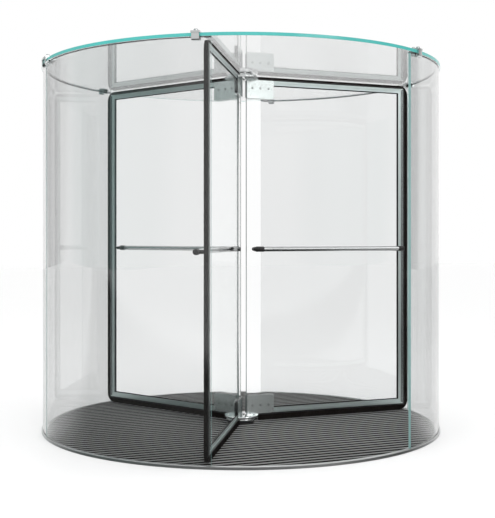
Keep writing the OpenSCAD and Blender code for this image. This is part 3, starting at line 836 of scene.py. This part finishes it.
def wing_places():
    """Distances along the wing and heights, read from the right wing's CAD boxes."""
    glass, edge, brush = (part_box(f"right_wing_{k}") for k in ("glass", "frame", "brush"))
    bar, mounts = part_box("right_wing_push_bar"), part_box("right_wing_bar_mounts")
    return {
        "glass": (glass[0].x, glass[1].x, glass[0].z, glass[1].z), "half": glass[1].y,
        "frame": (edge[0].x, edge[1].x, edge[0].z, edge[1].z), "frame_half": edge[1].y,
        "brush": (brush[0].x, brush[1].x, brush[0].z, brush[1].z), "brush_half": brush[1].y,
        "bar_z": (bar[0].z + bar[1].z) / 2, "bar_r": (bar[1].z - bar[0].z) / 2,
        "bar_y": (bar[0].y + bar[1].y) / 2, "bar": (mounts[0].x, mounts[1].x), "button_y": mounts[1].y,
    }


def edge_path(w, inward, part="frame"):
    """Points (x, z) of a line along the bottom, outer and top profiles, inset by (side, bottom, top).

    It starts and ends where the part does, the frame or the brush.
    """
    _, x1, z0, z1 = w["frame"]
    side, bottom, top = inward
    start = w[part][0]
    return np.stack([np.stack([np.full_like(bottom, start), z0 + bottom], -1),
                     np.stack([x1 - side, z0 + bottom], -1), np.stack([x1 - side, z1 - top], -1),
                     np.stack([np.full_like(top, start), z1 - top], -1)])


def profile_run(w, section, widths, part="frame"):
    """Section of (inset, depth) points carried along the bottom, outer and top edges with mitred corners.

    An inset of 0 to 1 is a share of the profile's width on that side, and the rest is added in metres.
    """
    share, extra, depth = np.asarray(section, float).T
    insets = [share * width + extra for width in widths]
    path = edge_path(w, insets, part)
    y = np.broadcast_to(depth, path.shape[:2])
    return grid(np.stack([path[..., 0], y, path[..., 1]], -1), close_v=True, caps=True)


class DOOR_OT_wing_glass(bpy.types.Operator):
    """Build the three flat wing glasses"""

    bl_idname = "revolving_door.wing_glass"
    bl_label = "Wing Glass"

    def execute(self, context):
        s, w = sizes(), wing_places()
        hole_x, hole_r = w["bar"][0] + BUTTON_IN, 0.0055
        for wing, deg in WINGS.items():
            sheet = plate_with_hole(*w["glass"], w["half"], s.arris, hole_x, w["bar_z"], hole_r)
            piece(f"{wing}_wing_pane", [placed(sheet, deg)], "turnstile",
                  ["wing_glass", "wing_edge"], [f"{wing}_wing_glass"])
        return {"FINISHED"}


class DOOR_OT_wing_frames(bpy.types.Operator):
    """Build the edge profiles of the wings and their glazing beads"""

    bl_idname = "revolving_door.wing_frames"
    bl_label = "Edge Profiles"

    def execute(self, context):
        s, w = sizes(), wing_places()
        t, lip, c, glass = w["frame_half"], -s.profile_lip, 0.0008, w["half"]
        slot, shelf, line = glass + GLASS_GAP, t - s.profile_step, lip - 0.0025
        widths = (s.side_profile, s.bottom_profile, s.top_profile)
        half = [(0, 0, t - c), (0, c, t), (1, line - 0.002, t), (1, line - 0.0015, t - c),
                (1, line - 0.0005, t - c), (1, line, t), (1, lip, t), (1, lip, shelf), (1, -c, shelf),
                (1, 0, shelf - c), (1, 0, slot), (0, 0.008, slot)]
        section = half + [(a, b, -y) for a, b, y in half[::-1]]
        bead_top, on_glass = shelf - 0.0012, glass + 0.00005
        bead = [(1, -0.002, slot - SEATED), (1, -0.002, bead_top), (1, 0.0005, bead_top),
                (1, s.glazing_bead * 0.6, glass + 0.0022), (1, s.glazing_bead, on_glass),
                (1, -0.001, on_glass)]
        for wing, deg in WINGS.items():
            run = placed(profile_run(w, section, widths), deg)
            run["place"] = along_profile(run["place"], w)
            cells = len(section)
            # Painted shade: the broad faces of the outer upright run get the darker side profile colour,
            # while the bottom and top runs keep the plain profile colour.
            shaded_broad_faces = (cells + 1, 2 * cells - 3)
            run["finish"] = [int(i in shaded_broad_faces) for i in range(3 * cells + 2)]
            piece(f"{wing}_wing_profile", [run], "turnstile", ["profile", "side_profile"],
                  [f"{wing}_wing_frame"])
            beads = [placed(profile_run(w, [(a, b, y * side) for a, b, y in bead], widths), deg)
                     for side in (1, -1)]
            piece(f"{wing}_wing_bead", beads, "turnstile", ["seal_rubber"], bevel=0.0004)
        return {"FINISHED"}


def along_profile(place, w):
    """Pattern places with the first and third swapped on the level profiles, so that lines run along them."""
    _, x1, z0, z1 = w["frame"]
    x, y, z = place.T
    level = (np.minimum(z - z0, z1 - z) < x1 - x)[:, None]
    return np.where(level, np.stack([z, y, x], -1), np.stack([x, y, z], -1))


def brush_curves(w, step):
    """Roots and tips (x, z) of the bristles along the bottom, round the corners and up the outer side.

    On the straight parts a bristle stands square to its holder, and at a corner the bristles fan out.
    Every tip lies on the rectangle of the brush with its outer corners rounded.
    """
    s = sizes()
    x0, x1, z0, z1 = w["brush"]
    fx1 = w["frame"][1] + s.brush_holder
    fz0, fz1 = w["frame"][2] - s.brush_holder, w["frame"][3] + s.brush_holder
    radius = s.brush_corner

    def drop(near):
        return np.where(near < radius, radius - np.sqrt(np.maximum(radius**2 - (radius - near) ** 2, 0)), 0)

    def tip_z(x):
        return drop(x1 - x)

    def tip_x(z):
        return drop(np.minimum(z - z0, z1 - z))

    x = np.arange(x0 + 0.001, fx1, step)
    z = np.arange(fz0, fz1, step)
    fan = np.linspace(0, 1, 14)[1:-1]

    def corner(root, low_tip, side_tip, centre_z):
        centre = np.array((x1 - radius, centre_z))
        a0 = np.arctan2(*(low_tip - centre)[::-1])
        a1 = np.arctan2(*(side_tip - centre)[::-1])
        a = a0 + fan * (a1 - a0)
        return np.tile(root, (len(fan), 1)), centre + radius * np.stack([np.cos(a), np.sin(a)], -1)

    bottom = np.stack([x, np.full_like(x, fz0)], -1), np.stack([x, z0 + tip_z(x)], -1)
    side = np.stack([np.full_like(z, fx1), z], -1), np.stack([x1 - tip_x(z), z], -1)
    top = np.stack([x[::-1], np.full_like(x, fz1)], -1), np.stack([x[::-1], z1 - tip_z(x[::-1])], -1)
    low = corner(side[0][0], bottom[1][-1], side[1][0], z0 + radius)
    high = corner(side[0][-1], side[1][-1], top[1][0], z1 - radius)
    parts = (bottom, low, side, high, top)
    return np.concatenate([p[0] for p in parts]), np.concatenate([p[1] for p in parts])


def bristle_core(roots, tips, half):
    """Dense heart of a brush: at each place along it, a thin loop from one face at the root round the tip.

    It reaches nine tenths of the way from root to tip and narrows towards the tip.
    """
    inner = roots + (tips - roots) * 0.9
    rows = [(roots, half * 0.55), (inner, half * 0.7), (inner, -half * 0.7), (roots, -half * 0.55)]
    points = np.stack([np.stack([xz[:, 0], np.full(len(xz), y), xz[:, 1]], -1) for xz, y in rows], 1)
    return grid(points, close_v=True, caps=True)


def tufts(roots, tips, half, rows, seed):
    """Three-sided tapering tufts in rows across the brush, with a little lean and spread.

    At its root and its tip, corner k of a tuft is centre + radius (cos(t) side + sin(t) up), with
    t = turn + 2 pi k / 3.
    """
    rng = np.random.default_rng(seed)
    across = np.linspace(-1, 1, rows)
    n = len(roots) * rows
    root, tip = np.repeat(roots, rows, 0), np.repeat(tips, rows, 0)
    y0 = np.tile(across * half * 0.5, len(roots)) + rng.normal(0, 0.0004, n)
    y1 = np.tile(across * half * 0.72, len(roots)) + rng.normal(0, 0.0012, n)
    y1 = np.clip(y1, -half * 0.96, half * 0.96)
    reach = (1 - np.abs(rng.normal(0, 0.03, n)))[:, None]
    span = tip - root
    lean = np.stack([-span[:, 1], span[:, 0]], -1) * rng.normal(0, 0.035, n)[:, None]
    end = root + span * reach + lean * 0.6
    end = np.clip(end, (roots[:, 0].min() - 0.001, tips[:, 1].min()), tips.max(0))
    a = np.stack([root[:, 0], y0, root[:, 1]], -1)
    b = np.stack([end[:, 0], y1, end[:, 1]], -1)
    way = b - a
    way /= np.linalg.norm(way, axis=1)[:, None]
    side = np.cross(way, (0, 1, 0))
    side /= np.maximum(np.linalg.norm(side, axis=1), 1e-9)[:, None]
    up = np.cross(way, side)
    turn = rng.uniform(0, 2 * np.pi, n)
    points = []
    root_radius, tip_radius = 0.0010, 0.00055
    for centre, radius in ((a, root_radius), (b, tip_radius)):
        for k in range(3):
            t = turn + k * 2 * np.pi / 3
            points.append(centre + radius * (np.cos(t)[:, None] * side + np.sin(t)[:, None] * up))
    points = np.stack(points, 1).reshape(-1, 3)
    first = np.arange(n)[:, None] * 6
    sides = np.stack([first + (k, (k + 1) % 3, 3 + (k + 1) % 3, 3 + k) for k in range(3)], 1).reshape(-1, 4)
    ends = np.concatenate([first + (3, 4, 5), first + (2, 1, 0)])
    faces = [tuple(f) for f in sides.tolist()] + [tuple(f) for f in ends.tolist()]
    return {"points": points, "faces": faces, "finish": [0] * len(faces)}


class DOOR_OT_brushes(bpy.types.Operator):
    """Build the brush seals: black holders and rows of bristles"""

    bl_idname = "revolving_door.brushes"
    bl_label = "Brush Seals"

    def execute(self, context):
        s, w = sizes(), wing_places()
        roots, tips = brush_curves(w, s.bristle_pitch)
        half, c, notch = w["brush_half"], 0.0015, 0.003
        h, face = -s.brush_holder, half - 0.002
        upper = [(0, 0.0, face), (0, h + c, face), (0, h, face - c), (0, h, half * 0.66),
                 (0, h + notch, half * 0.6)]
        section = upper + [(a, b, -y) for a, b, y in upper[::-1]]
        for seed, (wing, deg) in enumerate(WINGS.items()):
            holder = placed(profile_run(w, section, (0, 0, 0), "brush"), deg)
            piece(f"{wing}_brush_holder", [holder], "turnstile", ["black_plastic"])
            core = placed(bristle_core(roots, tips, half), deg)
            bristles = placed(tufts(roots, tips, half, s.bristle_rows, seed), deg)
            piece(f"{wing}_bristles", [core, bristles], "turnstile", ["brush"],
                  [f"{wing}_wing_brush"], outward=False)
        return {"FINISHED"}


def patch_screw(x, z, y, way):
    """Countersunk screw in a cover plate: a shallow dished head with a hexagon socket."""
    head, socket, proud = 0.0062, 0.0034, 0.0009
    rows = [(-0.001, head), (0.0003, head), (proud, head - 0.0006), (proud, socket, 6), (-0.0022, socket, 6)]
    return turned(rows, (x, y, z), (0, way, 0), 30, slot=1)


class DOOR_OT_patches(bpy.types.Operator):
    """Build the patch fittings that hold the wing glass to the hubs"""

    bl_idname = "revolving_door.patches"
    bl_label = "Patch Fittings"

    def execute(self, context):
        s, w = sizes(), wing_places()
        half, inner, margin = w["half"], w["half"] + PLATE_PAD, 0.001
        outer = inner + s.patch_plate
        for wing, deg in WINGS.items():
            for level, into in (("top", -1), ("bottom", 1)):
                low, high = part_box(f"right_wing_{level}_patch")
                x0, x1 = low.x + margin, high.x - margin
                edge_z = high.z if level == "top" else low.z
                outline = rounded_rectangle(low.x, high.x, low.z, high.z, s.patch_corner)
                pad_outline = rounded_rectangle(x0, x1, low.z + margin, high.z - margin, s.patch_corner)
                steps = np.roll(outline, -1, 0) - outline
                # Painted shade: edge faces marked lit keep the bright patch steel, and all other edge faces
                # of the plate get the darker patch edge colour.
                lit = -steps[:, 0] / np.hypot(*steps.T) <= -0.3
                core_z = sorted((edge_z, edge_z + into * CORE_DEPTH))
                core = box_shape((x0, -inner, core_z[0]), (x1, inner, core_z[1]))
                plates, pads, screws = [], [], []
                for way in (-1, 1):
                    plate = slab(outline, *sorted((way * inner, way * outer)))
                    plate["finish"] = [0 if bright else 3 for bright in lit] + [0, 0]
                    plates.append(plate)
                    pads.append(slab(pad_outline, *sorted((way * half, way * inner)), slot=2))
                    screws += [patch_screw(x, edge_z + into * PLATE_SCREWS_Z, way * outer, way)
                               for x in PLATE_SCREWS_X]
                shapes = [placed(shape, deg) for shape in (*plates, core, *pads, *screws)]
                piece(f"{wing}_{level}_patch_plates", shapes, "turnstile",
                      ["patch_steel", "dark_steel", "seal_rubber", "patch_painted_shade_edge"],
                      [f"{wing}_wing_{level}_patch"], bevel=0.0012)
        return {"FINISHED"}


class DOOR_OT_push_bars(bpy.types.Operator):
    """Build the push bars with their collars, standoffs and buttons"""

    bl_idname = "revolving_door.push_bars"
    bl_label = "Push Bars"

    def execute(self, context):
        s, w = sizes(), wing_places()
        (x0, x1), y, z, r = w["bar"], w["bar_y"], w["bar_z"], w["bar_r"]
        c, face, line = r + s.bar_extra / 2, -w["half"], 0.0006
        inner, outer, in_tube = s.bar_inner_collar, s.bar_outer_collar, 0.02
        inner_end, outer_start = x0 + inner, x1 - outer
        along, to_bar = (1, 0, 0), (0, -1, 0)
        run, wall = outer_start - inner_end + 2 * in_tube, r - 0.002
        tube = turned([(0, wall), (0, r), (run, r), (run, wall)], (inner_end - in_tube, y, z), along, 64)
        tip = [(0, 0.0075), (0.0012, 0.0092), (0.003, 0.0102), (0.019, c), (inner - 0.010, c),
               (inner - 0.0095, c - line), (inner - 0.0085, c - line), (inner - 0.008, c),
               (inner - 0.0008, c), (inner, c - 0.0008), (inner, r - 0.001)]
        end = [(0, r - 0.001), (0, c - 0.0008), (0.0008, c), (0.008, c), (0.0085, c - line),
               (0.0095, c - line), (0.010, c), (outer - 0.004, c), (outer - 0.0012, c - 0.0012),
               (outer, c - 0.004)]
        fittings = [turned(tip, (x0, y, z), along, 64), turned(end, (outer_start, y, z), along, 64)]
        gap = face - y
        outer_post = s.outer_standoff / 2
        posts = ((x0 + BUTTON_IN, s.inner_standoff / 2),
                 (w["frame"][1] - s.side_profile - 0.001 - outer_post, outer_post))
        for x, post_r in posts:
            post = [(0, 0.007), (0.006, post_r), (gap - r * 0.6, post_r), (gap, post_r * 0.9)]
            fittings.append(turned(post, (x, face, z), to_bar, 48))
        glass, thick = w["half"] * 2, w["half"] + w["button_y"]
        shank, head, socket = 0.005, 0.0115, 0.003
        button = [(-0.004, shank), (glass, shank), (glass, head), (thick - 0.0015, head),
                  (thick - 0.0005, 0.0108), (thick, 0.0098), (thick, socket, 6), (thick - 0.003, socket, 6)]
        fittings.append(turned(button, (x0 + BUTTON_IN, face, z), (0, 1, 0), 48))
        for wing, deg in WINGS.items():
            piece(f"{wing}_steel_bar", [placed(tube, deg)], "turnstile", ["bar_steel"],
                  [f"{wing}_wing_push_bar"])
            piece(f"{wing}_bar_fittings", [placed(x, deg) for x in fittings], "turnstile",
                  ["black_plastic"], [f"{wing}_wing_bar_mounts"])
        return {"FINISHED"}


# ---- stage ----


def studio_floor():
    """Large pale floor. Reflections see a dark part in front of the door, as from a black floor cloth."""
    pale = (0.93, 0.93, 0.93)
    made = Finish("studio_floor", pale, 0.5, Specular_IOR_Level=0.1)
    place = made.nodes.new("ShaderNodeTexCoord").outputs["Object"]
    front = (-0.36, -0.93, 0.0)
    cloth = made.times(reflected(made), towards(made, place, front, 0.2, 0.9))
    cloth = made.times(cloth, made.span(towards(made, place, front, 4.0, 7.0), 1.0, 0.0))
    made.links.new(made.blend(cloth, pale, (0.06, 0.06, 0.06)), made.shader.inputs["Base Color"])
    half = FLOOR_HALF
    corners = [(-half, -half, 0), (half, -half, 0), (half, half, 0), (-half, half, 0)]
    mesh = bpy.data.meshes.new("floor")
    mesh.from_pydata(corners, [], [(0, 1, 2, 3)])
    mesh.materials.append(made.material)
    floor = bpy.data.objects.new("floor", mesh)
    bpy.context.scene.collection.objects.link(floor)


def softbox(name, place, aim, width, height, watts):
    """Rectangular area lamp that points at aim."""
    lamp = bpy.data.lights.new(name, "AREA")
    lamp.shape, lamp.size, lamp.size_y, lamp.energy = "RECTANGLE", width, height, watts
    obj = bpy.data.objects.new(name, lamp)
    obj.visible_glossy = False
    bpy.context.scene.collection.objects.link(obj)
    x, y, z = np.subtract(aim, place)
    obj.location = place
    obj.rotation_euler = (np.arctan2(np.hypot(x, y), -z), 0, np.arctan2(y, x) - np.pi / 2)


def reflected(made):
    """1 for what is seen after a glossy bounce, 0 for what is seen straight or through glass."""
    path = made.add("ShaderNodeLightPath")
    return made.span(path.outputs["Glossy Depth"], 0.0, 1.0)


def towards(made, vector, direction, start, end):
    """Rises from 0 to 1 as a vector's share along a direction goes from start to end."""
    dot = made.add("ShaderNodeVectorMath", {"operation": "DOT_PRODUCT"})
    made.links.new(vector, dot.inputs[0])
    dot.inputs[1].default_value = direction
    ramp = made.add("ShaderNodeMapRange", {"interpolation_type": "SMOOTHSTEP"}, Value=dot.outputs["Value"],
                    From_Min=start, From_Max=end)
    return ramp.outputs["Result"]


class StudioWorld(Finish):
    """White studio. Reflections see it less bright in front, with a bright panel at the front right, a dark
    flag on the right and another at the rear left, and a green-grey panel on the left.

    A panel is its direction, the shares along it at which it starts and is whole, and its level.
    """

    PANELS = (
        ((0.35, -0.90, 0.26), 0.968, 0.99, 3.8),
        ((0.96, -0.25, 0.10), 0.90, 0.96, 0.10),
        ((-0.46, 0.88, 0.15), 0.93, 0.98, 0.5),
    )

    def __init__(self):
        world = bpy.data.worlds.new("studio")
        world.use_nodes = True
        self.material, self.nodes, self.links = world, world.node_tree.nodes, world.node_tree.links
        way = self.nodes.new("ShaderNodeTexCoord").outputs["Generated"]
        seen = reflected(self)
        background = self.nodes["Background"]
        green = self.times(seen, towards(self, way, (-0.98, 0.10, 0.15), 0.72, 0.92))
        self.links.new(self.blend(green, (1.0, 1.0, 1.0), (0.36, 0.48, 0.47)), background.inputs["Color"])
        strength = self.span(self.times(seen, towards(self, way, (0.0, -1.0, 0.0), 0.0, 0.5)), 1.0, 0.75)
        for direction, start, end, level in self.PANELS:
            panel = self.times(seen, towards(self, way, direction, start, end))
            strength = self.times(strength, self.span(panel, 1.0, level))
        self.links.new(strength, background.inputs["Strength"])


class DOOR_OT_stage(bpy.types.Operator):
    """Set up the pale floor, the soft studio light and the camera"""

    bl_idname = "revolving_door.stage"
    bl_label = "Stage"

    def execute(self, context):
        scene = bpy.context.scene
        scene.view_settings.view_transform = "Standard"
        studio_floor()
        scene.world = StudioWorld().material
        softbox("key_light", (-4.5, -4.5, 5.0), (0, 0, 1.0), 3.5, 3.5, 130)
        softbox("fill_light", (4.0, -2.5, 4.0), (0, 0, 1.0), 3.0, 3.0, 40)
        sky = bpy.data.lights.new("sky_light", "SUN")
        sky.energy, sky.angle = 0.22, np.radians(60)
        scene.collection.objects.link(bpy.data.objects.new("sky_light", sky))
        camera = bpy.data.objects.new("camera", bpy.data.cameras.new("camera"))
        scene.collection.objects.link(camera)
        turn, away, eye_height = np.radians(21.4), 6.091, 1.161
        camera.location = (-away * np.sin(turn), -away * np.cos(turn), eye_height)
        camera.rotation_euler = (np.pi / 2, 0, -turn)
        camera.data.lens, camera.data.sensor_width = 68.45, 36.0
        camera.data.shift_x, camera.data.shift_y = 0.01278, -0.0441
        camera.data.clip_end = 200.0
        scene.camera = camera
        return {"FINISHED"}


# ---- panel and registering ----


OPERATORS = (
    DOOR_OT_curved_glass, DOOR_OT_top_seals, DOOR_OT_ceiling, DOOR_OT_floor_ring, DOOR_OT_mat, DOOR_OT_clamps,
    DOOR_OT_pivots, DOOR_OT_hubs, DOOR_OT_wing_glass, DOOR_OT_wing_frames, DOOR_OT_brushes, DOOR_OT_patches,
    DOOR_OT_push_bars, DOOR_OT_stage,
)


class DOOR_PT_panel(bpy.types.Panel):
    """Sizes, colours and pieces of the revolving door"""

    bl_idname = "DOOR_PT_panel"
    bl_label = "Revolving Door"
    bl_space_type = "VIEW_3D"
    bl_region_type = "UI"
    bl_category = "Revolving Door"

    def draw(self, context):
        for group in (sizes(), colours()):
            column = self.layout.column(align=True)
            for key in group.__annotations__:
                column.prop(group, key)
        for made in OPERATORS:
            self.layout.operator(made.bl_idname)


CLASSES = (RevolvingDoorSizes, RevolvingDoorColours, *OPERATORS, DOOR_PT_panel)


def register():
    """Register the classes and the settings."""
    for made in CLASSES:
        bpy.utils.register_class(made)
    bpy.types.Scene.revolving_door_sizes = PointerProperty(type=RevolvingDoorSizes)
    bpy.types.Scene.revolving_door_colours = PointerProperty(type=RevolvingDoorColours)


def unregister():
    """Remove the settings and the classes."""
    del bpy.types.Scene.revolving_door_colours
    del bpy.types.Scene.revolving_door_sizes
    for made in reversed(CLASSES):
        bpy.utils.unregister_class(made)


def main():
    register()
    for made in OPERATORS:
        group, name = made.bl_idname.split(".")
        getattr(getattr(bpy.ops, group), name)()


if __name__ == "__main__":
    main()
